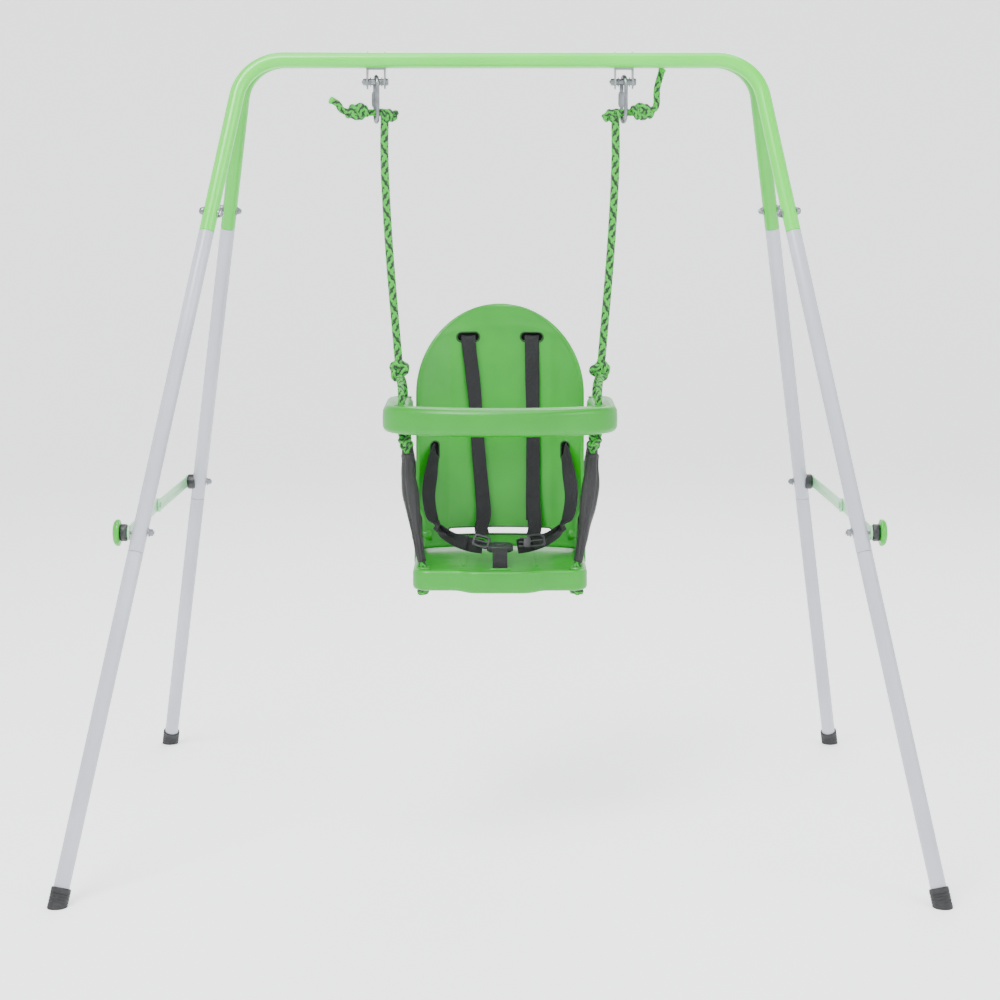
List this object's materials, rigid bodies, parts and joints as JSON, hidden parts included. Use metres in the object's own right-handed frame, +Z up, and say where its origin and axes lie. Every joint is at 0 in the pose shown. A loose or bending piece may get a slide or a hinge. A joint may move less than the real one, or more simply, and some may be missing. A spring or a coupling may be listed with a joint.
{
  "type": "baby swing",
  "caption": "Freestanding folding A-frame swing for a toddler: a bucket seat with tray and harness hung on ropes between splayed tube legs.",
  "frame": {"origin": "on the floor, in the middle of the box round the whole object, under the top bars", "axes": "+Z up, X along the top bars, and the child faces -Y"},
  "size_m": [1.4038, 1.0454, 1.3274],
  "materials": {
    "bar_paint": "gloss",
    "leg_paint": "satin",
    "brace_paint": "satin",
    "bracket_paint": "satin",
    "foot_rubber": "matte",
    "zinc": "satin",
    "black_plastic": "satin",
    "knob_plastic": "gloss",
    "seat_plastic": "satin",
    "rope": "matte",
    "rope_sleeve": "matte",
    "webbing": "matte"
  },
  "bodies": {
    "front_frame": {"upper_leg_front_left": "leg_paint", "lower_leg_front_left": "leg_paint", "foot_cap_front_left": "foot_rubber", "leg_bolt_front_left": "zinc", "upper_leg_front_right": "leg_paint", "lower_leg_front_right": "leg_paint", "foot_cap_front_right": "foot_rubber", "leg_bolt_front_right": "zinc", "top_tube_front": "bar_paint", "hanger_bracket_left": "bracket_paint", "hanger_bolt_left": "zinc", "knob_bolt_left": "zinc", "hanger_bracket_right": "bracket_paint", "hanger_bolt_right": "zinc", "knob_bolt_right": "zinc"},
    "rear_frame": {"upper_leg_rear_left": "leg_paint", "lower_leg_rear_left": "leg_paint", "foot_cap_rear_left": "foot_rubber", "leg_bolt_rear_left": "zinc", "upper_leg_rear_right": "leg_paint", "lower_leg_rear_right": "leg_paint", "foot_cap_rear_right": "foot_rubber", "leg_bolt_rear_right": "zinc", "top_tube_rear": "bar_paint", "pivot_spacer_left": "black_plastic", "pivot_bolt_left": "zinc", "pivot_spacer_right": "black_plastic", "pivot_bolt_right": "zinc"},
    "front_link_left": {"brace_link_front_left": "brace_paint"},
    "rear_link_left": {"brace_link_rear_left": "brace_paint"},
    "knob_left": {"knob_left": "knob_plastic"},
    "link_sleeve_left": {"link_sleeve_left": "zinc"},
    "front_link_right": {"brace_link_front_right": "brace_paint"},
    "rear_link_right": {"brace_link_rear_right": "brace_paint"},
    "knob_right": {"knob_right": "knob_plastic"},
    "link_sleeve_right": {"link_sleeve_right": "zinc"},
    "tray": {"tray": "seat_plastic"},
    "swing": {"quick_link_left": "zinc", "rope_upper_left": "rope", "rope_front_left": "rope", "rope_rear_left": "rope", "rope_sleeve_front_left": "rope_sleeve", "rope_sleeve_rear_left": "rope_sleeve", "backrest_pin_left": "zinc", "shoulder_strap_left": "webbing", "lap_belt_left": "webbing", "quick_link_right": "zinc", "rope_upper_right": "rope", "rope_front_right": "rope", "rope_rear_right": "rope", "rope_sleeve_front_right": "rope_sleeve", "rope_sleeve_rear_right": "rope_sleeve", "backrest_pin_right": "zinc", "shoulder_strap_right": "webbing", "lap_belt_right": "webbing", "seat_base": "seat_plastic", "backrest": "seat_plastic", "crotch_strap": "webbing", "buckle": "black_plastic"}
  },
  "joints": [
    {"name": "fold", "type": "hinge", "parent": "front_frame", "child": "rear_frame", "pos_m": [0, 0.0145, 1.312], "axis": [-1, 0, 0], "range_deg": [0, 38]},
    {"name": "swing", "type": "hinge", "parent": "front_frame", "child": "swing", "pos_m": [0, 0, 1.276], "axis": [1, 0, 0], "range_deg": [-40, 40]},
    {"name": "tray_lift", "type": "slide", "parent": "swing", "child": "tray", "axis": [0, 0, 1], "range_m": [0, 0.006]},
    {"name": "front_link_left", "type": "hinge", "parent": "front_frame", "child": "front_link_left", "pos_m": [-0.595, -0.29847, 0.554], "axis": [1, 0, 0], "range_deg": [0, 72]},
    {"name": "rear_link_left", "type": "hinge", "parent": "front_link_left", "child": "rear_link_left", "pos_m": [-0.59, 0, 0.554], "axis": [-1, 0, 0], "range_deg": [0, 167]},
    {"name": "knob_left", "type": "hinge", "parent": "front_frame", "child": "knob_left", "pos_m": [-0.605, -0.29847, 0.554], "axis": [1, 0, 0], "continuous": true},
    {"name": "link_sleeve_left", "type": "hinge", "parent": "swing", "child": "link_sleeve_left", "pos_m": [-0.21192, 0.01441, 1.2473], "axis": [0, 0, 1], "continuous": true},
    {"name": "front_link_right", "type": "hinge", "parent": "front_frame", "child": "front_link_right", "pos_m": [0.595, -0.29847, 0.554], "axis": [1, 0, 0], "range_deg": [0, 72]},
    {"name": "rear_link_right", "type": "hinge", "parent": "front_link_right", "child": "rear_link_right", "pos_m": [0.59, 0, 0.554], "axis": [-1, 0, 0], "range_deg": [0, 167]},
    {"name": "knob_right", "type": "hinge", "parent": "front_frame", "child": "knob_right", "pos_m": [0.605, -0.29847, 0.554], "axis": [1, 0, 0], "continuous": true},
    {"name": "link_sleeve_right", "type": "hinge", "parent": "swing", "child": "link_sleeve_right", "pos_m": [0.20608, 0.01441, 1.2473], "axis": [0, 0, 1], "continuous": true}
  ],
  "couplings": [
    {"joint": "front_link_left", "follows": "fold", "ratio": 1.887},
    {"joint": "rear_link_left", "follows": "fold", "ratio": 4.375},
    {"joint": "front_link_right", "follows": "fold", "ratio": 1.887},
    {"joint": "rear_link_right", "follows": "fold", "ratio": 4.375}
  ]
}
